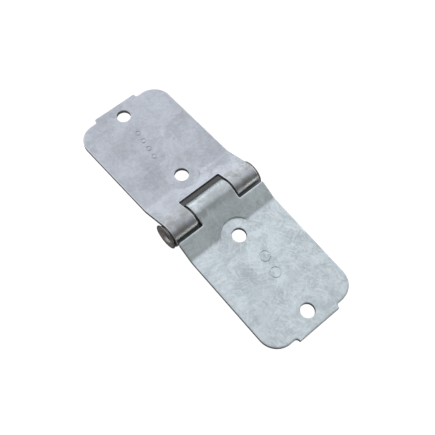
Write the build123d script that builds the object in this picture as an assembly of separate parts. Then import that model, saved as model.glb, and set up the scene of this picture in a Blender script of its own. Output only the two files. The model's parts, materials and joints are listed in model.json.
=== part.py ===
from build123d import *

import os
from math import cos, radians, sin

# Three-knuckle strap hinge pressed from sheet steel, with a hollow pin.
# Millimetres. The origin is the middle of the pin. +X runs along the pin, +Y out
# along the fork leaf, whose plate is level, and +Z is up, the side the leaves
# are raised on. The tongue leaf lies towards -Y and hangs a few degrees lower.

# Sheet and leaf widths
SHEET = 2.75
LEAF_WIDTH = 63.5
HOLE_DIAMETER = 8.7

# Barrel
KNUCKLE_RADIUS = 8.3
CURL_END_ANGLE = 350.0
SLOT_WIDTH = 30.0
TONGUE_WIDTH = 27.4
SLOT_DEPTH = 10.6
SHOULDER_DISTANCE = 9.2

# Section of a leaf: a level plate, a bend, then a ramp up to the top of the barrel
PLATE_TOP = 0.65
RAMP_ANGLE = 21.5
BEND_RADIUS = 6.0
SEAT_RADIUS = 10.7

# Leaf lengths and hole positions, from the pin
FORK_LENGTH = 91.5
FORK_HOLES = (26.0, 82.0)
TONGUE_LENGTH = 93.5
TONGUE_HOLES = (25.5, 83.2)

# Free end of a leaf: a low tab between two large round corners
TAB_WIDTH = 30.0
TAB_HEIGHT = 2.6
TAB_RELIEF_RADIUS = 2.2
CORNER_RADIUS = 12.0
TAB_CORNER_RADIUS = 0.3

# Corners of the cuts beside the knuckles
SLOT_CORNER_RADIUS = 0.8
SHOULDER_RADIUS = 1.0

# How far the tongue leaf hangs below the fork leaf's level
REST_FOLD = 7.3

# Hollow pin
RUNNING_GAP = 0.05
TUBE_WALL = 1.4
FLANGE_RADIUS = 8.0
FLANGE_THICKNESS = 1.0
FLARE_RADIUS = 2.4
END_PLAY = 1.0

# Worked out from the above
HALF_WIDTH = LEAF_WIDTH / 2
CURL_RADIUS = KNUCKLE_RADIUS - SHEET
PLATE_BOTTOM = PLATE_TOP - SHEET
TUBE_RADIUS = CURL_RADIUS - RUNNING_GAP
BORE_RADIUS = TUBE_RADIUS - TUBE_WALL
MARGIN = 20.0


def on_circle(radius, angle):
    """A point of the section (Y, Z) at an angle from +Y about the pin."""
    return (radius * cos(radians(angle)), radius * sin(radians(angle)))


def ramp_meets(height, radius):
    """Y where the line tangent to a circle about the pin is at this height."""
    slope = radians(RAMP_ANGLE)
    return (radius - height * cos(slope)) / sin(slope)


def leaf_section(length):
    """Side view of one leaf: plate, bend, ramp and the curl round the pin."""
    start = 90 - RAMP_ANGLE
    middle = (start + CURL_END_ANGLE) / 2
    top_bend = (ramp_meets(PLATE_TOP, KNUCKLE_RADIUS), PLATE_TOP)
    low_bend = (ramp_meets(PLATE_BOTTOM, CURL_RADIUS), PLATE_BOTTOM)
    outside = ThreePointArc(
        on_circle(KNUCKLE_RADIUS, start),
        on_circle(KNUCKLE_RADIUS, middle),
        on_circle(KNUCKLE_RADIUS, CURL_END_ANGLE),
    )
    inside = ThreePointArc(
        on_circle(CURL_RADIUS, CURL_END_ANGLE),
        on_circle(CURL_RADIUS, middle),
        on_circle(CURL_RADIUS, start),
    )
    edges = [
        Line((length, PLATE_TOP), top_bend),
        Line(top_bend, outside @ 0),
        outside,
        Line(outside @ 1, inside @ 0),
        inside,
        Line(inside @ 1, low_bend),
        Line(low_bend, (length, PLATE_BOTTOM)),
        Line((length, PLATE_BOTTOM), (length, PLATE_TOP)),
    ]
    face = make_face(edges)
    for corner, radius in ((top_bend, BEND_RADIUS), (low_bend, BEND_RADIUS + SHEET)):
        vertex = face.vertices().sort_by_distance((corner[0], corner[1], 0))[0]
        face = fillet(vertex, radius)
    return face


def seen_from_above(length, root):
    """Outline of a leaf's free end and sides, as a tall prism down to Y = root."""
    body_end = length - TAB_HEIGHT
    tab = TAB_WIDTH / 2
    corners = [
        (HALF_WIDTH, root),
        (HALF_WIDTH, body_end),
        (tab, body_end),
        (tab, length),
        (-tab, length),
        (-tab, body_end),
        (-HALF_WIDTH, body_end),
        (-HALF_WIDTH, root),
    ]
    face = make_face(Polyline(*corners, close=True))
    roundings = (
        (HALF_WIDTH, body_end, CORNER_RADIUS),
        (tab, body_end, TAB_RELIEF_RADIUS),
        (tab, length, TAB_CORNER_RADIUS),
    )
    for x, y, radius in roundings:
        for side in (-1, 1):
            vertex = face.vertices().sort_by_distance((side * x, y, 0))[0]
            face = fillet(vertex, radius)
    return extrude(face, MARGIN, both=True)


def box_between(low, high):
    """A box from its lowest to its highest corner."""
    size = [b - a for a, b in zip(low, high)]
    middle = [(a + b) / 2 for a, b in zip(low, high)]
    return Pos(*middle) * Box(*size)


def seat(distance):
    """The round seat pressed level with the plate, and the space cleared above it."""
    disc = Pos(0, distance, (PLATE_TOP + PLATE_BOTTOM) / 2) * Cylinder(SEAT_RADIUS, SHEET)
    above = Pos(0, distance, PLATE_TOP + MARGIN / 2) * Cylinder(SEAT_RADIUS, MARGIN)
    return disc, above


def leaf_blank(length, holes):
    """A leaf with a full-width knuckle, its outline and its two holes."""
    section = Plane.YZ * leaf_section(length)
    body = extrude(section, HALF_WIDTH, both=True)
    disc, above = seat(holes[0])
    body = body - above + disc
    body = body & seen_from_above(length, -MARGIN)
    for distance in holes:
        body -= Pos(0, distance, 0) * Cylinder(HOLE_DIAMETER / 2, MARGIN)
    return body


def fork_leaf():
    """The leaf with two outer knuckles and a slot between them."""
    half = SLOT_WIDTH / 2
    slot = box_between((-half, -MARGIN, -MARGIN), (half, SLOT_DEPTH, MARGIN))
    slot = fillet(slot.edges().filter_by(Axis.Z).group_by(Axis.Y)[-1], SLOT_CORNER_RADIUS)
    return leaf_blank(FORK_LENGTH, FORK_HOLES) - slot


def upright_edge(solid, x, y):
    """The solid's edge along Z that is nearest to this place."""
    return solid.edges().filter_by(Axis.Z).sort_by_distance((x, y, PLATE_TOP))[0]


def tongue_leaf():
    """The leaf with one middle knuckle, hung from the pin at its resting fold."""
    inner = TONGUE_WIDTH / 2
    outer = HALF_WIDTH + MARGIN
    body = leaf_blank(TONGUE_LENGTH, TONGUE_HOLES)
    for side in (-1, 1):
        x_low, x_high = sorted((side * inner, side * outer))
        notch = box_between((x_low, -MARGIN, -MARGIN), (x_high, SHOULDER_DISTANCE, MARGIN))
        corner = upright_edge(notch, side * inner, SHOULDER_DISTANCE)
        body -= fillet(corner, SLOT_CORNER_RADIUS)
        shoulder = upright_edge(body, side * HALF_WIDTH, SHOULDER_DISTANCE)
        body = fillet(shoulder, SHOULDER_RADIUS)
    return Rot(REST_FOLD, 0, 0) * Rot(0, 0, 180) * body


def hollow_pin():
    """The tube through the knuckles, flared out to a flange at both ends.

    It is a little longer than the barrel, and pushed over to -X, so that its
    +X flange touches the knuckle there.
    """
    back_x = (LEAF_WIDTH + END_PLAY) / 2
    face_x = back_x + FLANGE_THICKNESS
    mouth_x = face_x - FLARE_RADIUS
    flare = FLARE_RADIUS * sin(radians(45))
    half = [
        Line((0, BORE_RADIUS), (mouth_x, BORE_RADIUS)),
        ThreePointArc(
            (mouth_x, BORE_RADIUS),
            (mouth_x + flare, BORE_RADIUS + FLARE_RADIUS - flare),
            (face_x, BORE_RADIUS + FLARE_RADIUS),
        ),
        Line((face_x, BORE_RADIUS + FLARE_RADIUS), (face_x, FLANGE_RADIUS)),
        Line((face_x, FLANGE_RADIUS), (back_x, FLANGE_RADIUS)),
        Line((back_x, FLANGE_RADIUS), (back_x, TUBE_RADIUS)),
        Line((back_x, TUBE_RADIUS), (0, TUBE_RADIUS)),
        Line((0, TUBE_RADIUS), (0, BORE_RADIUS)),
    ]
    section = make_face(half)
    rim = section.vertices().sort_by_distance((face_x, FLANGE_RADIUS, 0))[0]
    section = fillet(rim, FLANGE_THICKNESS / 2)
    end = revolve(section, Axis.X)
    return Pos(-END_PLAY / 2, 0, 0) * (end + mirror(end, Plane.YZ))


NODES = {
    "fork_leaf": fork_leaf,
    "tongue_leaf": tongue_leaf,
    "hollow_pin": hollow_pin,
}

os.makedirs("parts", exist_ok=True)
for name, make in NODES.items():
    export_step(make(), f"parts/{name}.step")
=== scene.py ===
import json
from math import acos, atan2, ceil, cos, hypot, pi, radians, sin, sqrt

import bmesh
import bpy
from mathutils import Matrix, Vector
from mathutils.geometry import delaunay_2d_cdt


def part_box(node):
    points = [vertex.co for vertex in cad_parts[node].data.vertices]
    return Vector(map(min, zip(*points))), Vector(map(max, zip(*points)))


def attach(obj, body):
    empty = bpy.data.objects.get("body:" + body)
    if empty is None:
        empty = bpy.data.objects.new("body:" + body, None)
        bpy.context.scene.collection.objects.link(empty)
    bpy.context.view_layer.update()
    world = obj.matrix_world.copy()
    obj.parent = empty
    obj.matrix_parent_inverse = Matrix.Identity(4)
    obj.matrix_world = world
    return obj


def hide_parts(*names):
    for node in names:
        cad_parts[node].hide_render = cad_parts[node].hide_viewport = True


# A three-knuckle strap hinge of zinc-plated sheet steel on a hollow pin.
# The frame is the CAD model's: the pin lies along X, the fork leaf reaches out to
# +Y and the tongue leaf to -Y, and both are raised to +Z at the barrel.
# Sizes are in millimetres, and MM turns them into Blender's metres.

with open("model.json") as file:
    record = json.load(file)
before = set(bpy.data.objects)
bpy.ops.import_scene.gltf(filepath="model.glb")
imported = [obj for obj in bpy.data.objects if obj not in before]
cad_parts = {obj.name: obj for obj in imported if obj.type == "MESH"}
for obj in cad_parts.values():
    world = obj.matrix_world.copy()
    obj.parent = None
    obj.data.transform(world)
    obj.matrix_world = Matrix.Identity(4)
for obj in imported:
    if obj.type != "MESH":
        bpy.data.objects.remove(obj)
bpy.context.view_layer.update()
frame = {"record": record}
MM = 0.001


# ------------------------------------------------------------------ sizes

def mount(name):
    """One of the record's mounts, by its name."""
    return next(m for m in frame["record"]["mounts"] if m["name"] == name)


def box_mm(node):
    """Lowest and highest corner of a CAD node in millimetres."""
    low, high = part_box(node)
    return low / MM, high / MM


SHEET = mount("tongue_near_hole")["dims"]["length_mm"]
HOLE_RADIUS = mount("fork_holes")["dims"]["hole_r_mm"]
BORE_RADIUS = mount("pin_bore")["dims"]["r_mm"]
PLATE_BOTTOM = mount("fork_back")["pos_m"][2] / MM
PLATE_TOP = PLATE_BOTTOM + SHEET

FOLD_AXIS = mount("tongue_near_hole")["axis"]
FOLD = atan2(-FOLD_AXIS[1], FOLD_AXIS[2])
FORK_PLACE = Matrix.Identity(4)
TONGUE_PLACE = Matrix.Rotation(FOLD, 4, "X") @ Matrix.Rotation(pi, 4, "Z")

HALF_WIDTH = box_mm("fork_leaf")[1].x
FORK_LENGTH = box_mm("fork_leaf")[1].y
TONGUE_LENGTH = (-box_mm("tongue_leaf")[0].y - PLATE_TOP * sin(FOLD)) / cos(FOLD)

KNUCKLE_RADIUS = 8.3
CURL_END = radians(350)
RAMP = radians(21.5)
BEND_RADIUS = 6.0
SEAT_RADIUS = 10.7
SEAT_WALL = 0.5

SLOT_HALF = 15.0
SLOT_DEPTH = 10.6
TONGUE_HALF = 13.7
SHOULDER = 9.2
SHOULDER_RADIUS = 1.0
CUT_RADIUS = 0.8
CURL_CORNER = 0.65

# Plain ring stamps: (x, t) of each centre on the leaf's pattern, and their radius
FORK_STAMPS = [(-1.2 - 1.0 * k, 66.0 - 6.5 * k) for k in range(4)]
FORK_STAMP_RADIUS = 1.5
TONGUE_STAMPS = [(-2.9, 44.5), (-1.1, 55.5)]
TONGUE_STAMP_RADIUS = 3.2
STAMP_WIDTH = 0.9
STAMP_DEPTH = 0.3
STAMP_STEPS = 4
STAMP_SEGMENTS = 32
STAMP_SEGMENTS_PER_MM = 20

TAB_HALF = 15.0
TAB_HEIGHT = 2.6
TAB_RELIEF = 2.0
TAB_CORNER = 0.55
CORNER_RADIUS = 12.0

# The press rolls the upper edges of the sheet over and leaves the lower ones crisp. At a
# small corner the roll keeps to a share of the room that there is
ROLL_WIDTH = 1.3
HOLE_ROLL_WIDTH = 0.7
ROLL_ROOM = 0.95
ROLL_DEPTH = 0.4
LOWER_ROUND = 0.16
ROLL_STEPS = 6

# How finely curves are divided: by how far a chord may leave its arc, and by rows
CHORD_ERROR = 0.004
CURL_STEPS = 56
BEND_STEPS = 6
SEAT_STEPS = 6
PLATE_GRID = 4.0

# Room between the rows and the lines of another shape, how near to a corner a row may
# cross a side, how far the seat's arcs run past the bend, and when two places are one
LINE_GAP = 0.1
ROW_MARGIN = 0.01
SEAT_OVERRUN = 0.3
SAME_PLACE = 1e-5

# Of 100: how much the largest faces decide the shading of the edges beside them
LARGEST_FACES_WIN = 100

# Where the curl round the pin meets the ramp, as an angle and as a distance, how long
# the curl is round its outside, and where the bend ends and begins on the upper face
CURL_START = pi / 2 - RAMP
RAMP_START = KNUCKLE_RADIUS * sin(RAMP)
CURL_LENGTH = KNUCKLE_RADIUS * (CURL_END - CURL_START)
BEND_CENTRE = (KNUCKLE_RADIUS + BEND_RADIUS - (PLATE_TOP + BEND_RADIUS) * cos(RAMP)) / sin(RAMP)
BEND_START = BEND_CENTRE - BEND_RADIUS * sin(RAMP)


# ------------------------------------------------------------------ the sheet's surface
# A leaf is described on its flat pattern: x along the pin, and t outwards. On the
# plate and the ramp t is the distance from the pin, and round the curl it goes on
# below RAMP_START as the length of the outside arc.

def side_height(y, side):
    """Height at y of the upper (side 0) or lower (side 1) face of plate, bend and ramp."""
    drop = SHEET * side
    radius = BEND_RADIUS + drop
    start = BEND_CENTRE - radius * sin(RAMP)
    if y >= BEND_CENTRE:
        return PLATE_TOP - drop
    if y > start:
        return PLATE_TOP + BEND_RADIUS - sqrt(radius ** 2 - (BEND_CENTRE - y) ** 2)
    return (KNUCKLE_RADIUS - drop - y * sin(RAMP)) / cos(RAMP)


def smooth(value):
    """0 below 0, 1 above 1, and a soft step between."""
    value = min(1.0, max(0.0, value))
    return value * value * (3 - 2 * value)


def stamp_depth(x, t, stamps):
    """How deep the stamped rings have pressed the upper face at a place."""
    depth = 0.0
    for centre_x, centre_t, radius in stamps:
        across = abs(hypot(x - centre_x, t - centre_t) - radius) / (STAMP_WIDTH / 2)
        if across < 1:
            depth = max(depth, STAMP_DEPTH * (1 - across ** 2) ** 2)
    return depth


def face_point(x, t, side, seat):
    """The point of the leaf's upper (0) or lower (1) face over a place on its pattern."""
    if t < RAMP_START:
        angle = CURL_START + (RAMP_START - t) / KNUCKLE_RADIUS
        radius = KNUCKLE_RADIUS - SHEET * side
        return Vector((x, radius * cos(angle), radius * sin(angle)))
    lean = max(0.0, 1 - (t - RAMP_START) / (SHOULDER - RAMP_START))
    y = t - side * SHEET * sin(RAMP) * lean
    height = side_height(y, side)
    level = PLATE_TOP - SHEET * side
    rise = smooth((hypot(x, t - seat) - SEAT_RADIUS) / SEAT_WALL + 0.5)
    return Vector((x, y, level + (height - level) * rise))


def roll_depth(share, depth):
    """How far a rolled edge lies below the face, at a share of the roll's width."""
    return depth * (1 - sqrt(1 - (1 - share) ** 2))


def sheet_points(x, t, share, seat, stamps):
    """Upper and lower point of the sheet, at a place that far across the rolled edge."""
    upper = face_point(x, t, 0, seat)
    lower = face_point(x, t, 1, seat)
    across = (lower - upper).normalized()
    return (
        upper + across * (roll_depth(share, ROLL_DEPTH) + stamp_depth(x, t, stamps)),
        lower - across * roll_depth(share, LOWER_ROUND),
    )


# ------------------------------------------------------------------ outlines

def arc_steps(radius, turn):
    """How many chords an arc takes."""
    return max(4, ceil(abs(turn) / (2 * acos(1 - CHORD_ERROR / radius))))


def rows_between(start, end, rows):
    """Places along a straight side where it crosses the rows, in order."""
    if abs(end.y - start.y) < SAME_PLACE:
        count = max(1, round((end - start).length / PLATE_GRID))
        shares = [i / count for i in range(1, count)]
    else:
        shares = sorted((row - start.y) / (end.y - start.y) for row in rows)
        margin = ROW_MARGIN / (end - start).length
        shares = [s for s in shares if margin < s < 1 - margin]
    return [start.lerp(end, share) for share in shares]


def corner_arc(previous, corner, following, radius):
    """The turn at a rounded corner, and the points and inward normals of its arc."""
    before = (corner - previous).normalized()
    after = (following - corner).normalized()
    turn = atan2(before.cross(after), before.dot(after))
    reach = radius * abs(sin(turn / 2) / cos(turn / 2))
    inward = Vector((-before.y, before.x)) * (1 if turn > 0 else -1)
    centre = corner - before * reach + inward * radius
    count = arc_steps(radius, turn)
    arc = []
    for k in range(count + 1):
        outward = Matrix.Rotation(turn * k / count, 2) @ (-inward)
        arc.append((centre + outward * radius, -outward if turn > 0 else outward))
    return turn, arc


def roll_width(place, tight):
    """How wide the rolled edge can be at a place on the outline."""
    room = [ROLL_ROOM * max(radius, (place - corner).length) for corner, radius in tight]
    return min([ROLL_WIDTH] + room)


def rounded_outline(corners, rows):
    """Points, inward normals and roll widths of a closed outline, run anticlockwise.

    Each corner is (x, t, radius). Straight sides get a point at every row. The
    rolled edge narrows towards the small corners, where two of them meet.
    """
    places = [Vector((x, t)) for x, t, _ in corners]
    arcs = []
    tight = []
    for i, (_, _, radius) in enumerate(corners):
        following = places[(i + 1) % len(places)]
        turn, arc = corner_arc(places[i - 1], places[i], following, radius)
        arcs.append(arc)
        if turn > 0 and radius < ROLL_WIDTH:
            tight.append((places[i], radius))
    outline = []
    for i, arc in enumerate(arcs):
        outline += arc
        start, normal = arc[-1]
        finish, _ = arcs[(i + 1) % len(arcs)][0]
        outline += [(place, normal) for place in rows_between(start, finish, rows)]
    return [(place, normal, roll_width(place, tight)) for place, normal in outline]


def hole_outline(distance):
    """Points, normals into the sheet and roll widths of a bolt hole."""
    count = 4 * ceil(arc_steps(HOLE_RADIUS, 2 * pi) / 4)
    outward = [Vector((cos(2 * pi * i / count), -sin(2 * pi * i / count))) for i in range(count)]
    return [(Vector((0, distance)) + o * HOLE_RADIUS, o, HOLE_ROLL_WIDTH) for o in outward]


def free_end(length):
    """Corners of a leaf's free end: a low tab between two large round corners."""
    body_end = length - TAB_HEIGHT
    right = [
        (HALF_WIDTH, body_end, CORNER_RADIUS),
        (TAB_HALF, body_end, TAB_RELIEF),
        (TAB_HALF, length, TAB_CORNER),
    ]
    return right + [(-x, t, radius) for x, t, radius in reversed(right)]


def fork_corners():
    """Outline of the fork leaf's pattern: two outer knuckles and a slot between."""
    end = RAMP_START - CURL_LENGTH
    return [
        (SLOT_HALF, end, CURL_CORNER),
        (HALF_WIDTH, end, CURL_CORNER),
        *free_end(FORK_LENGTH),
        (-HALF_WIDTH, end, CURL_CORNER),
        (-SLOT_HALF, end, CURL_CORNER),
        (-SLOT_HALF, SLOT_DEPTH, CUT_RADIUS),
        (SLOT_HALF, SLOT_DEPTH, CUT_RADIUS),
    ]


def tongue_corners():
    """Outline of the tongue leaf's pattern: one middle knuckle between shoulders."""
    end = RAMP_START - CURL_LENGTH
    return [
        (-TONGUE_HALF, end, CURL_CORNER),
        (TONGUE_HALF, end, CURL_CORNER),
        (TONGUE_HALF, SHOULDER, CUT_RADIUS),
        (HALF_WIDTH, SHOULDER, SHOULDER_RADIUS),
        *free_end(TONGUE_LENGTH),
        (-HALF_WIDTH, SHOULDER, SHOULDER_RADIUS),
        (-TONGUE_HALF, SHOULDER, CUT_RADIUS),
    ]


# ------------------------------------------------------------------ leaf meshes

def inside(place, polygon):
    """Whether a place is inside a closed polygon."""
    found = False
    for a, b in zip(polygon, polygon[1:] + polygon[:1]):
        if (a.y > place.y) != (b.y > place.y):
            if place.x < a.x + (place.y - a.y) * (b.x - a.x) / (b.y - a.y):
                found = not found
    return found


def bent_rows():
    """Rows of the pattern that follow the curl and the bend."""
    step = CURL_LENGTH / CURL_STEPS
    curl = [RAMP_START - step * i for i in range(1, CURL_STEPS)]
    width = (BEND_CENTRE - BEND_START) / BEND_STEPS
    bend = [BEND_START + width * i for i in range(BEND_STEPS + 1)]
    return curl + [RAMP_START] + bend


def seat_lines(seat):
    """Concentric arcs that carry the wall of the round seat, where the leaf is bent."""
    top = BEND_CENTRE + SEAT_OVERRUN
    lines = []
    for k in range(SEAT_STEPS + 1):
        radius = SEAT_RADIUS + SEAT_WALL * (k / SEAT_STEPS - 0.5)
        reach = acos((seat - top) / radius)
        count = arc_steps(radius, 2 * reach)
        angles = [reach * (2 * i / count - 1) for i in range(count + 1)]
        lines.append([Vector((radius * sin(a), seat - radius * cos(a))) for a in angles])
    return lines


def row_lines(rows, seat, knuckles):
    """Straight lines along the rows, broken at the seat and between the knuckles."""
    inner = SEAT_RADIUS - SEAT_WALL / 2 - LINE_GAP
    rolled_end = RAMP_START - CURL_LENGTH + ROLL_WIDTH
    lines = []
    for row in rows:
        if row < rolled_end + LINE_GAP:
            continue
        if row <= RAMP_START:
            spans = knuckles
        elif seat - row < inner:
            cut = sqrt(inner ** 2 - (seat - row) ** 2)
            spans = [(-HALF_WIDTH, -cut), (cut, HALF_WIDTH)]
        else:
            spans = [(-HALF_WIDTH, HALF_WIDTH)]
        lines += [[Vector((low, row)), Vector((high, row))] for low, high in spans]
    return lines


def stamp_lines(stamps):
    """Concentric circles that carry the groove of each stamped ring."""
    lines = []
    for centre_x, centre_t, radius in stamps:
        centre = Vector((centre_x, centre_t))
        count = max(STAMP_SEGMENTS, round(radius * STAMP_SEGMENTS_PER_MM))
        turns = [2 * pi * (i % count) / count for i in range(count + 1)]
        for k in range(STAMP_STEPS * 2 + 1):
            reach = radius + STAMP_WIDTH / 2 * (k / STAMP_STEPS - 1)
            lines.append([centre + Vector((sin(a), cos(a))) * reach for a in turns])
    return lines


def plate_rows(length):
    """Evenly spaced rows of the flat plate."""
    rows = []
    row = BEND_CENTRE + PLATE_GRID / 2
    while row < length:
        rows.append(row)
        row += PLATE_GRID
    return rows


def plate_grid(rows, loops):
    """Loose points that keep the triangles of the plate well shaped."""
    clear = ROLL_WIDTH + PLATE_GRID / 4
    edges = [place for loop in loops for place in loop]
    columns = int(HALF_WIDTH / PLATE_GRID)
    grid = []
    for i in range(-columns, columns + 1):
        for row in rows:
            place = Vector((i * PLATE_GRID, row))
            if min((place - edge).length for edge in edges) > clear:
                grid.append(place)
    return grid


def rolled_rings(outline, places, shares, faces):
    """Adds rings of quads across one rolled edge; returns its outer and inner ring."""
    rings = []
    for k in range(ROLL_STEPS + 1):
        share = 1 - cos(pi / 2 * k / ROLL_STEPS)
        rings.append(list(range(len(places), len(places) + len(outline))))
        places += [place + normal * width * share for place, normal, width in outline]
        shares += [share] * len(outline)
    for outer, inner in zip(rings, rings[1:]):
        for i in range(len(outer)):
            faces.append((outer[i - 1], outer[i], inner[i], inner[i - 1]))
    return rings[0], rings[-1]


def fixed_edges(loops, lines):
    """Edges that the triangles keep to: round each loop, then along each line."""
    edges = []
    offset = 0
    for loop in loops:
        last = offset + len(loop) - 1
        edges += [(offset + i - 1 if i else last, offset + i) for i in range(len(loop))]
        offset += len(loop)
    for line in lines:
        edges += [(offset + i, offset + i + 1) for i in range(len(line) - 1)]
        offset += len(line)
    return edges


def fill_inside(loops, lines, loose, places, shares, faces):
    """Adds the triangles inside the first loop and outside the others."""
    fixed = [index for loop in loops for index in loop]
    points = [places[index] for index in fixed] + sum(lines, []) + loose
    edges = fixed_edges(loops, lines)
    found, _, triangles, origins, _, _ = delaunay_2d_cdt(points, edges, [], 0, SAME_PLACE)
    outside, *openings = [[places[index] for index in loop] for loop in loops]
    kept = []
    for triangle in triangles:
        centre = sum((found[i] for i in triangle), Vector((0, 0))) / 3
        if inside(centre, outside) and not any(inside(centre, hole) for hole in openings):
            kept.append(triangle)
    number = {}
    for i in (i for triangle in kept for i in triangle):
        if i in number:
            continue
        known = [o for o in origins[i] if o < len(fixed)]
        if known:
            number[i] = fixed[known[0]]
        else:
            number[i] = len(places)
            places.append(found[i])
            shares.append(1.0)
    faces += [tuple(number[i] for i in triangle) for triangle in kept]


def pattern_mesh(outlines, lines, loose):
    """Places, shares of the rolled edge, faces and rims of a leaf's flat pattern."""
    places, shares, faces = [], [], []
    rims, loops = zip(*[rolled_rings(outline, places, shares, faces) for outline in outlines])
    fill_inside(loops, lines, loose, places, shares, faces)
    return places, shares, faces, rims


def sheet_solid(pattern, place, seat, stamps):
    """A closed bmesh with the pattern on its upper and lower face, and walls between."""
    places, shares, faces, rims = pattern
    shape = bmesh.new()
    depth = shape.verts.layers.float.new("sheet_depth")
    roll = shape.verts.layers.float.new("roll_share")
    upper, lower = [], []
    for spot, share in zip(places, shares):
        top, bottom = sheet_points(spot.x, spot.y, share, seat, stamps)
        top_depth = roll_depth(share, ROLL_DEPTH)
        bottom_depth = SHEET - roll_depth(share, LOWER_ROUND)
        for point, level, verts in ((top, top_depth, upper), (bottom, bottom_depth, lower)):
            vert = shape.verts.new(place @ point * MM)
            vert[depth] = level
            vert[roll] = share
            verts.append(vert)
    for face in faces:
        shape.faces.new([upper[i] for i in face])
        shape.faces.new([lower[i] for i in reversed(face)])
    for rim in rims:
        for i in range(len(rim)):
            a, b = rim[i - 1], rim[i]
            shape.faces.new((upper[b], upper[a], lower[a], lower[b]))
    return shape


def leaf_piece(name, body, place, corners, length, holes, knuckles, stamps):
    """One leaf as a solid of sheet, its edges rounded, riding on its body."""
    rows = bent_rows()
    flat_rows = plate_rows(length)
    seat = holes[0]
    outlines = [rounded_outline(corners, rows + flat_rows)]
    outlines += [hole_outline(distance) for distance in holes]
    rings = stamp_lines(stamps)
    lines = row_lines(rows, seat, knuckles) + seat_lines(seat) + rings
    loops = [[spot for spot, _, _ in outline] for outline in outlines] + rings
    pattern = pattern_mesh(outlines, lines, plate_grid(flat_rows, loops))
    return finished_piece(name, sheet_solid(pattern, place, seat, stamps), body)


def finished_piece(name, shape, body):
    """A smooth-shaded object made from a bmesh, riding on its body."""
    bmesh.ops.recalc_face_normals(shape, faces=shape.faces)
    for face in shape.faces:
        face.smooth = True
    mesh = bpy.data.meshes.new(name)
    shape.to_mesh(mesh)
    shape.free()
    piece = bpy.data.objects.new(name, mesh)
    bpy.context.scene.collection.objects.link(piece)
    soften(piece)
    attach(piece, body)
    return piece


def soften(piece):
    """Shading that keeps large flat faces flat beside small rounded ones."""
    modifier = piece.modifiers.new("normals", "WEIGHTED_NORMAL")
    modifier.mode = "FACE_AREA"
    modifier.weight = LARGEST_FACES_WIN


def fork_leaf():
    """The leaf with two outer knuckles, in place of its CAD node."""
    holes = mount("fork_holes")
    middle = holes["pos_m"][1] / MM
    reach = holes["dims"]["spacing_y_mm"] / 2
    piece = leaf_piece(
        "fork_leaf_skin", "fork", FORK_PLACE, fork_corners(), FORK_LENGTH,
        (middle - reach, middle + reach),
        [(-HALF_WIDTH, -SLOT_HALF), (SLOT_HALF, HALF_WIDTH)],
        [(x, t, FORK_STAMP_RADIUS) for x, t in FORK_STAMPS],
    )
    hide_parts("fork_leaf")
    return piece


def tongue_leaf():
    """The leaf with the middle knuckle, in place of its CAD node."""
    back = TONGUE_PLACE.inverted()
    holes = [(back @ Vector(mount(name)["pos_m"])).y / MM
             for name in ("tongue_near_hole", "tongue_far_hole")]
    piece = leaf_piece(
        "tongue_leaf_skin", "tongue", TONGUE_PLACE, tongue_corners(), TONGUE_LENGTH,
        holes, [(-TONGUE_HALF, TONGUE_HALF)],
        [(x, t, TONGUE_STAMP_RADIUS) for x, t in TONGUE_STAMPS],
    )
    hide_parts("tongue_leaf")
    return piece


# ------------------------------------------------------------------ pin

PIN_SEGMENTS = 96
PIN_ROW = 6.0
TUBE_WALL = 1.4
FLANGE_THICKNESS = 1.0
FLARE_RADIUS = 2.4
FLARE_STEPS = 10
RIM_ROUND = 0.45
RIM_STEPS = 6

# The small hollow between the flange and the tube: its size, and its middle point
NECK_ROUND = 0.5
NECK_STEP = 0.15


def pin_half_profile(face):
    """(x, radius) from the middle of the bore, over the flared end, to the tube."""
    back = face - FLANGE_THICKNESS
    rim = BORE_RADIUS + FLARE_RADIUS
    flange = box_mm("hollow_pin")[1].z
    tube = BORE_RADIUS + TUBE_WALL
    profile = [(face - FLARE_RADIUS - PIN_ROW * k, BORE_RADIUS) for k in (4, 3, 2, 1, 0)]
    for k in range(1, FLARE_STEPS + 1):
        angle = pi / 2 * k / FLARE_STEPS
        profile.append((face - FLARE_RADIUS * (1 - sin(angle)),
                        rim - FLARE_RADIUS * cos(angle)))
    for centre_x, start in ((face - RIM_ROUND, 0), (back + RIM_ROUND, pi / 2)):
        for k in range(RIM_STEPS + 1):
            angle = start + pi / 2 * k / RIM_STEPS
            profile.append((centre_x + RIM_ROUND * cos(angle),
                            flange - RIM_ROUND + RIM_ROUND * sin(angle)))
    profile.append((back, tube + NECK_ROUND))
    profile.append((back - NECK_STEP, tube + NECK_STEP))
    profile.append((back - NECK_ROUND, tube))
    profile += [(back - PIN_ROW * k, tube) for k in (1, 2, 3, 4)]
    return profile


def hollow_pin():
    """The flared tube through the knuckles, turned about the pin's axis."""
    low, high = box_mm("hollow_pin")
    middle = (low.x + high.x) / 2
    half = pin_half_profile((high.x - low.x) / 2)
    profile = half + [(-x, radius) for x, radius in reversed(half)]
    shape = bmesh.new()
    rings = []
    for x, radius in profile:
        ring = []
        for i in range(PIN_SEGMENTS):
            angle = 2 * pi * i / PIN_SEGMENTS
            spot = Vector((middle + x, radius * cos(angle), radius * sin(angle)))
            ring.append(shape.verts.new(spot * MM))
        rings.append(ring)
    for a, b in zip(rings, rings[1:] + rings[:1]):
        for i in range(PIN_SEGMENTS):
            shape.faces.new((a[i - 1], a[i], b[i], b[i - 1]))
    piece = finished_piece("hollow_pin_skin", shape, "fork")
    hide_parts("hollow_pin")
    return piece


# ------------------------------------------------------------------ materials
# Sizes of patterns and distances from the pin are in metres, as Blender's coordinates
# are. A vein runs where its noise is near the middle: core and edge say how near.

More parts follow.
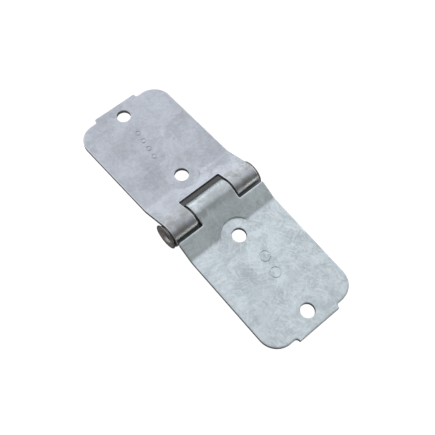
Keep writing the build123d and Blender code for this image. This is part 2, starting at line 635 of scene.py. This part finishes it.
FULL_TURN = 6.3  # radians, to the nearest tenth
FEATHER_SHARE = 0.55
ZINC_CLOUD_SIZE = 0.016
ZINC_GRAIN_SIZE = 0.0016
FINE_GRAIN_SIZE = 0.0004
TORN_GRAIN_SIZE = 0.0003
VEIN_SIZE = 0.007
VEIN_CORE = 0.004
VEIN_EDGE = 0.022
SHARD_SIZE = 0.009
STAIN_SIZE = 0.024
STAIN_SHARE = 0.18
SMUDGE_SIZE = 0.005
DRAWN_LINE_SIZE = 0.0008
TUBE_CLOUD_SIZE = 0.006

# Distances from the pin between which the barrel's burnish fades out, and between
# which the pin's rim takes its painted shade
BARREL_EDGE = 0.0084
BARREL_FADE = 0.0098
BARREL_SMOOTHER = 0.06
RIM_FADE = 0.0068
RIM_EDGE = 0.0074

# Depths in the sheet, in millimetres, between which a sheared side turns torn
TORN_START = 1.35
TORN_FULL = 1.75
TORN_ROUGHER = 0.25

VEIN_COLOUR = (0.92, 0.96, 0.95, 1)
# Pale colour of the rolled edges: rubbed wear and a painted highlight
RUBBED_AND_HIGHLIGHT_COLOUR = (0.86, 0.88, 0.90, 1)
# Dark colour of the sheared sides, and its share: bare steel and painted shade
SHEARED_SIDE_AND_SHADE_COLOUR = (0.20, 0.20, 0.21, 1)
SHEARED_SIDE_AND_SHADE_SHARE = 0.75


class Nodes:
    """Short calls for building one material's node tree."""

    def __init__(self, name):
        self.material = bpy.data.materials.new(name)
        self.material.use_nodes = True
        self.tree = self.material.node_tree
        self.surface = self.tree.nodes["Principled BSDF"]

    def link(self, socket, value):
        """Puts a number, a colour or another node's output on a socket."""
        if isinstance(value, bpy.types.NodeSocket):
            self.tree.links.new(value, socket)
        else:
            socket.default_value = value

    def add(self, kind, output, inputs, **settings):
        """A node with its inputs and settings; returns one of its outputs."""
        node = self.tree.nodes.new(kind)
        for key, value in settings.items():
            setattr(node, key, value)
        for key, value in inputs.items():
            self.link(node.inputs[key], value)
        return node.outputs[output]

    def math(self, operation, *values):
        """A sum, product or other operation on numbers."""
        inputs = dict(enumerate(values))
        return self.add("ShaderNodeMath", 0, inputs, operation=operation)

    def step(self, value, low, high, start=0.0, end=1.0):
        """A smooth step of a value, from start at low to end at high."""
        inputs = {"Value": value, "From Min": low, "From Max": high,
                  "To Min": start, "To Max": end}
        return self.add("ShaderNodeMapRange", "Result", inputs,
                        interpolation_type="SMOOTHSTEP")

    def noise(self, place, size, detail=3.0, roughness=0.55):
        """Cloudy noise from 0 to 1, with patches of about this size in metres."""
        inputs = {"Vector": place, "Scale": 1 / size, "Detail": detail, "Roughness": roughness}
        return self.add("ShaderNodeTexNoise", "Fac", inputs)

    def mix(self, share, first, second):
        """A blend of two colours."""
        inputs = {"Factor": share, 6: first, 7: second}
        return self.add("ShaderNodeMix", 2, inputs, data_type="RGBA")

    def metal(self, colour, rough, height, strength, distance):
        """Finishes the material as bare metal with a fine bump, and returns it."""
        bump = self.add("ShaderNodeBump", "Normal",
                        {"Height": height, "Strength": strength, "Distance": distance})
        self.link(self.surface.inputs["Base Color"], colour)
        self.surface.inputs["Metallic"].default_value = 1.0
        self.link(self.surface.inputs["Roughness"], rough)
        self.link(self.surface.inputs["Normal"], bump)
        return self.material


def shifted(nodes, offset, scale=(1, 1, 1)):
    """The piece's own coordinates, moved so that no two pieces look alike."""
    place = nodes.add("ShaderNodeTexCoord", "Object", {})
    return nodes.add("ShaderNodeMapping", "Vector",
                     {"Vector": place, "Location": offset, "Scale": scale})


def distance_from_pin(nodes):
    """Distance from the pin's axis, in metres."""
    own = nodes.add("ShaderNodeTexCoord", "Object", {})
    across = nodes.add("ShaderNodeVectorMath", 0, {0: own, 1: (0, 1, 1)}, operation="MULTIPLY")
    return nodes.add("ShaderNodeVectorMath", 1, {0: across}, operation="LENGTH")


def crystal_grain(nodes, cell, place, stretch):
    """The place turned another way in each crystal, and drawn out along the grain."""
    turn = nodes.add("ShaderNodeSeparateColor", 1, {"Color": cell})
    turned = nodes.add("ShaderNodeVectorRotate", "Vector",
                       {"Vector": place, "Angle": nodes.math("MULTIPLY", turn, FULL_TURN)},
                       rotation_type="Z_AXIS")
    return nodes.add("ShaderNodeVectorMath", 0,
                     {0: turned, 1: (stretch, 1.0, stretch)}, operation="MULTIPLY")


def spangle(nodes, place, size):
    """Random tone of the zinc's crystals, 0 to 1: each has its own grain direction."""
    wander = nodes.add("ShaderNodeTexNoise", "Color",
                       {"Vector": place, "Scale": 2.2 / size, "Detail": 4.0, "Roughness": 0.6})
    wander = nodes.add("ShaderNodeVectorMath", 0,
                       {0: wander, 1: (0.5, 0.5, 0.5)}, operation="SUBTRACT")
    bent = nodes.add("ShaderNodeVectorMath", 0,
                     {0: wander, 1: (size * 1.1,) * 3, 2: place}, operation="MULTIPLY_ADD")
    cell = nodes.add("ShaderNodeTexVoronoi", "Color", {"Vector": bent, "Scale": 1 / size})
    tone = nodes.add("ShaderNodeSeparateColor", 0, {"Color": cell})
    feather = nodes.noise(crystal_grain(nodes, cell, place, 0.35), size * 0.2, 5.0, 0.75)
    return nodes.math("MULTIPLY_ADD", nodes.step(feather, 0.25, 0.75), FEATHER_SHARE,
                      nodes.math("MULTIPLY", tone, 1 - FEATHER_SHARE))


def shards(nodes, place, size):
    """Straight bright strokes, 0 to 1, turned another way in each angular crystal."""
    cell = nodes.add("ShaderNodeTexVoronoi", "Color", {"Vector": place, "Scale": 1 / size})
    grain = crystal_grain(nodes, cell, place, 0.12)
    return nodes.step(nodes.noise(grain, size * 0.12, 2.0, 0.5), 0.54, 0.62)


def bright_veins(nodes, place, grain):
    """Thin wandering veins and straight strokes that catch the light, 0 to 1."""
    vein = nodes.math("ABSOLUTE", nodes.math("SUBTRACT", nodes.noise(place, VEIN_SIZE, 4.0), 0.5))
    vein = nodes.step(vein, VEIN_CORE, VEIN_EDGE, 1.0, 0.0)
    vein = nodes.math("MULTIPLY", vein, nodes.step(grain, 0.42, 0.6))
    return nodes.math("MAXIMUM", vein, shards(nodes, place, SHARD_SIZE))


def sheared_side(nodes):
    """Depth in the sheet in millimetres, and 1 on its sheared sides, 0 on its faces."""
    depth = nodes.add("ShaderNodeAttribute", "Fac", {}, attribute_name="sheet_depth")
    below = nodes.step(depth, ROLL_DEPTH * 0.8, ROLL_DEPTH * 1.4)
    above = nodes.step(depth, SHEET - LOWER_ROUND * 2, SHEET - LOWER_ROUND, 1.0, 0.0)
    return depth, nodes.math("MULTIPLY", below, above)


def zinc_steel(name, dark, light, formed, offset, spangle_size, spangle_share,
               vein_share, rub_and_highlight_share):
    """Zinc-plated sheet: mottled crystals, a burnished barrel, rolled edges lightened by wear and
    a painted highlight, and sheared sides darkened as bare steel and by painted shade.
    """
    nodes = Nodes(name)
    place = shifted(nodes, offset)
    crystals = spangle(nodes, place, spangle_size)
    clouds = nodes.noise(place, ZINC_CLOUD_SIZE, 5.0, 0.65)
    grain = nodes.noise(place, ZINC_GRAIN_SIZE, 5.0, 0.75)
    tone = nodes.math("MULTIPLY_ADD", crystals, spangle_share,
                      nodes.math("MULTIPLY", clouds, 1 - spangle_share))
    tone = nodes.math("MULTIPLY_ADD", grain, 0.32, nodes.math("MULTIPLY", tone, 0.84))
    vein = nodes.math("MULTIPLY", bright_veins(nodes, place, grain), vein_share)

    roll = nodes.add("ShaderNodeAttribute", "Fac", {}, attribute_name="roll_share")
    on_edge = nodes.step(roll, 0.0, 0.6, 1.0, 0.0)
    depth, side = sheared_side(nodes)
    torn = nodes.step(nodes.math("MULTIPLY_ADD", grain, 0.9, depth), TORN_START, TORN_FULL)
    torn = nodes.math("MULTIPLY", torn, side)

    barrel = nodes.step(distance_from_pin(nodes), BARREL_EDGE, BARREL_FADE, 1.0, 0.0)
    smudge = nodes.step(nodes.noise(place, SMUDGE_SIZE, 4.0, 0.65), 0.42, 0.58)
    smudge = nodes.math("MULTIPLY", barrel, nodes.math("MULTIPLY_ADD", smudge, 0.6, 0.24))
    stain = nodes.step(nodes.noise(place, STAIN_SIZE, 4.0, 0.6), 0.47, 0.62, 0.0, STAIN_SHARE)

    colour = nodes.mix(nodes.step(tone, 0.34, 0.78), dark, light)
    colour = nodes.mix(vein, colour, VEIN_COLOUR)
    colour = nodes.mix(stain, colour, formed)
    colour = nodes.mix(smudge, colour, formed)
    # Painted highlight: the rolled edges lighten towards a pale colour, partly rubbed wear
    colour = nodes.mix(nodes.math("MULTIPLY", on_edge, rub_and_highlight_share), colour, RUBBED_AND_HIGHLIGHT_COLOUR)
    # Painted shade: the sheared sides darken towards a near-black colour, partly the bare steel
    # of the cut
    colour = nodes.mix(nodes.math("MULTIPLY", side, SHEARED_SIDE_AND_SHADE_SHARE), colour, SHEARED_SIDE_AND_SHADE_COLOUR)
    rough = nodes.step(tone, 0.3, 0.8, 0.44, 0.32)
    rough = nodes.math("MULTIPLY_ADD", torn, TORN_ROUGHER, rough)
    rough = nodes.math("MULTIPLY_ADD", barrel, -BARREL_SMOOTHER, rough)
    height = nodes.math("MULTIPLY_ADD", nodes.noise(place, FINE_GRAIN_SIZE, 2.0), 0.35, grain)
    height = nodes.math("MULTIPLY_ADD", torn, nodes.noise(place, TORN_GRAIN_SIZE, 3.0), height)
    return nodes.metal(colour, rough, height, 0.12, 0.00012)


def tube_steel(name, dark, light, shade):
    """Plated tube, drawn smooth along its length, with painted shade on its rim."""
    nodes = Nodes(name)
    along = shifted(nodes, (0.02, 0.01, 0.03), (0.15, 1, 1))
    place = shifted(nodes, (0.03, 0.02, 0.01))
    drawn = nodes.noise(along, DRAWN_LINE_SIZE, 3.0)
    clouds = nodes.noise(place, TUBE_CLOUD_SIZE, 4.0)
    tone = nodes.math("MULTIPLY_ADD", drawn, 0.4, nodes.math("MULTIPLY", clouds, 0.6))
    # Painted shade: the flange's outer rim darkens towards the shade colour
    rim = nodes.step(distance_from_pin(nodes), RIM_FADE, RIM_EDGE, 0.0, 0.8)
    colour = nodes.mix(nodes.step(tone, 0.3, 0.7), dark, light)
    colour = nodes.mix(rim, colour, shade)
    rough = nodes.step(tone, 0.2, 0.8, 0.36, 0.26)
    return nodes.metal(colour, rough, tone, 0.15, 0.0001)


# ------------------------------------------------------------------ stage

CAMERA_TARGET = Vector((-2.90, -9.62, 0.0)) * MM
CAMERA_AZIMUTH = radians(-40.96)
CAMERA_ELEVATION = radians(61.12)
CAMERA_DISTANCE = 463.1 * MM
CAMERA_LENS = 66.69
SENSOR = 36.0

SOFTBOX_DISTANCE = 0.9

# The room turns from dim to bright between two cosines of the angle from its bright side
BRIGHT_SIDE = (0.2, 0.86, 0.47)
DIM_COSINE = -0.5
BRIGHT_COSINE = 0.7
ROOM_BRIGHT = 0.86
ROOM_DIM = 0.18
BRIGHT_TINT = (1.0, 1.0, 1.06)
DIM_TINT = (1.0, 1.0, 0.96)

# How brightly the floor glows to the camera and in reflections, and the share of that
# which is left in the painted shadow under the barrel
GLOW_SEEN = 1.0
GLOW_REFLECTED = 0.08
GLOW_IN_PAINTED_SHADOW = 0.08

# The floor's size in metres, and its gap below the hinge in millimetres
FLOOR_SIZE = 6
FLOOR_GAP = 0.02

# The painted shadow on the floor under the barrel, and its soft border, in metres
PAINTED_SHADOW_MIDDLE = 0.003
PAINTED_SHADOW_ALONG = (0.022, 0.030)
PAINTED_SHADOW_ACROSS = (0.013, 0.019)


def studio_camera():
    """The camera, high above the tongue leaf's side and to the left of the barrel."""
    data = bpy.data.cameras.new("camera")
    data.sensor_width = SENSOR
    data.lens = CAMERA_LENS
    data.clip_start = 0.01
    data.clip_end = 20
    camera = bpy.data.objects.new("camera", data)
    bpy.context.scene.collection.objects.link(camera)
    level = cos(CAMERA_ELEVATION)
    back = Vector((sin(CAMERA_AZIMUTH) * level, -cos(CAMERA_AZIMUTH) * level,
                   sin(CAMERA_ELEVATION)))
    camera.location = CAMERA_TARGET + back * CAMERA_DISTANCE
    camera.rotation_euler = (-back).to_track_quat("-Z", "Y").to_euler()
    bpy.context.scene.camera = camera


def floor_light():
    """The floor's light: white to the camera, dim in reflections of it, and a painted shadow
    under the barrel.
    """
    nodes = Nodes("floor_light_table")
    spot = nodes.add("ShaderNodeTexCoord", "Object", {})
    along = nodes.add("ShaderNodeSeparateXYZ", "X", {"Vector": spot})
    across = nodes.add("ShaderNodeSeparateXYZ", "Y", {"Vector": spot})
    across = nodes.math("SUBTRACT", across, PAINTED_SHADOW_MIDDLE)
    # Painted shadow: the floor's glow drops in a soft box under the barrel, where shade falls
    past_side = nodes.step(nodes.math("ABSOLUTE", along), *PAINTED_SHADOW_ALONG)
    past_barrel = nodes.step(nodes.math("ABSOLUTE", across), *PAINTED_SHADOW_ACROSS)
    outside_painted_shadow = nodes.math("MAXIMUM", past_side, past_barrel)
    outside_painted_shadow = nodes.math("MAXIMUM", outside_painted_shadow, GLOW_IN_PAINTED_SHADOW)
    seen = nodes.add("ShaderNodeLightPath", "Is Camera Ray", {})
    glow = nodes.math("MULTIPLY_ADD", seen, GLOW_SEEN - GLOW_REFLECTED, GLOW_REFLECTED)
    nodes.surface.inputs["Base Color"].default_value = (0.25, 0.25, 0.25, 1)
    nodes.surface.inputs["Roughness"].default_value = 0.9
    nodes.surface.inputs["Specular IOR Level"].default_value = 0.0
    nodes.surface.inputs["Emission Color"].default_value = (1, 1, 1, 1)
    nodes.link(nodes.surface.inputs["Emission Strength"],
               nodes.math("MULTIPLY", glow, outside_painted_shadow))
    return nodes.material


def studio_floor():
    """A pale floor, with a painted shadow under the barrel, that the barrel and both free ends
    stand on.
    """
    fork_tip = Vector((0, FORK_LENGTH, PLATE_BOTTOM))
    tongue_tip = TONGUE_PLACE @ Vector((0, TONGUE_LENGTH, PLATE_BOTTOM))
    slope = (fork_tip - tongue_tip).normalized()
    normal = Vector((1, 0, 0)).cross(slope)
    height = min(normal.dot(fork_tip), -KNUCKLE_RADIUS)
    bpy.ops.mesh.primitive_plane_add(size=FLOOR_SIZE)
    floor = bpy.context.object
    floor.name = "floor"
    floor.location = normal * (height - FLOOR_GAP) * MM
    floor.rotation_euler = normal.to_track_quat("Z", "Y").to_euler()
    floor.data.materials.append(floor_light())


def softbox(name, direction, width, height, radiance):
    """A rectangular area light that looks at the object, as bright as it is asked."""
    data = bpy.data.lights.new(name, "AREA")
    data.shape = "RECTANGLE"
    data.size = width
    data.size_y = height
    data.energy = radiance * pi * width * height
    light = bpy.data.objects.new(name, data)
    bpy.context.scene.collection.objects.link(light)
    light.location = Vector(direction).normalized() * SOFTBOX_DISTANCE
    light.rotation_euler = (-light.location).to_track_quat("-Z", "Y").to_euler()


def room_light():
    """The room around the hinge: bright above and behind it, dim elsewhere."""
    world = bpy.data.worlds.new("room")
    bpy.context.scene.world = world
    world.use_nodes = True
    tree = world.node_tree
    place = tree.nodes.new("ShaderNodeTexCoord")
    toward = tree.nodes.new("ShaderNodeVectorMath")
    toward.operation = "DOT_PRODUCT"
    toward.inputs[1].default_value = BRIGHT_SIDE
    level = tree.nodes.new("ShaderNodeMapRange")
    level.interpolation_type = "SMOOTHSTEP"
    level.inputs["From Min"].default_value = DIM_COSINE
    level.inputs["From Max"].default_value = BRIGHT_COSINE
    tint = tree.nodes.new("ShaderNodeMix")
    tint.data_type = "RGBA"
    tint.inputs[6].default_value = [ROOM_DIM * part for part in DIM_TINT] + [1]
    tint.inputs[7].default_value = [ROOM_BRIGHT * part for part in BRIGHT_TINT] + [1]
    background = tree.nodes["Background"]
    tree.links.new(place.outputs["Generated"], toward.inputs[0])
    tree.links.new(toward.outputs["Value"], level.inputs["Value"])
    tree.links.new(level.outputs["Result"], tint.inputs["Factor"])
    tree.links.new(tint.outputs[2], background.inputs["Color"])


def studio_light():
    """Soft boxes round the hinge, in a room that is bright above and behind it."""
    softbox("front_strip", (0.35, -1.0, 0.06), width=1.0, height=0.12, radiance=2.0)
    softbox("side_strip", (1.0, 0.05, 0.10), width=0.7, height=0.45, radiance=1.1)
    softbox("back_strip", (0.3, 1.0, 0.0), width=1.0, height=0.14, radiance=1.4)
    softbox("back_panel", (0.35, 1.0, 0.45), width=1.0, height=0.4, radiance=0.25)
    room_light()
    bpy.context.scene.view_settings.view_transform = "Standard"


# ------------------------------------------------------------------ the scene

fork_zinc = zinc_steel(
    "fork_zinc",
    dark=(0.43, 0.46, 0.50, 1),
    light=(0.62, 0.66, 0.70, 1),
    formed=(0.38, 0.39, 0.37, 1),
    offset=(0.11, 0.05, 0.02),
    spangle_size=0.012,
    spangle_share=0.35,
    vein_share=0.1,
    rub_and_highlight_share=0.85,
)
tongue_zinc = zinc_steel(
    "tongue_zinc",
    dark=(0.52, 0.59, 0.60, 1),
    light=(0.77, 0.87, 0.88, 1),
    formed=(0.49, 0.53, 0.53, 1),
    offset=(0.31, 0.17, 0.07),
    spangle_size=0.0065,
    spangle_share=0.4,
    vein_share=0.4,
    rub_and_highlight_share=0.3,
)
pin_zinc = tube_steel(
    "pin_zinc",
    dark=(0.36, 0.34, 0.32, 1),
    light=(0.62, 0.59, 0.56, 1),
    shade=(0.16, 0.15, 0.14, 1),
)

studio_camera()
fork_leaf().data.materials.append(fork_zinc)
tongue_leaf().data.materials.append(tongue_zinc)
hollow_pin().data.materials.append(pin_zinc)
studio_floor()
studio_light()
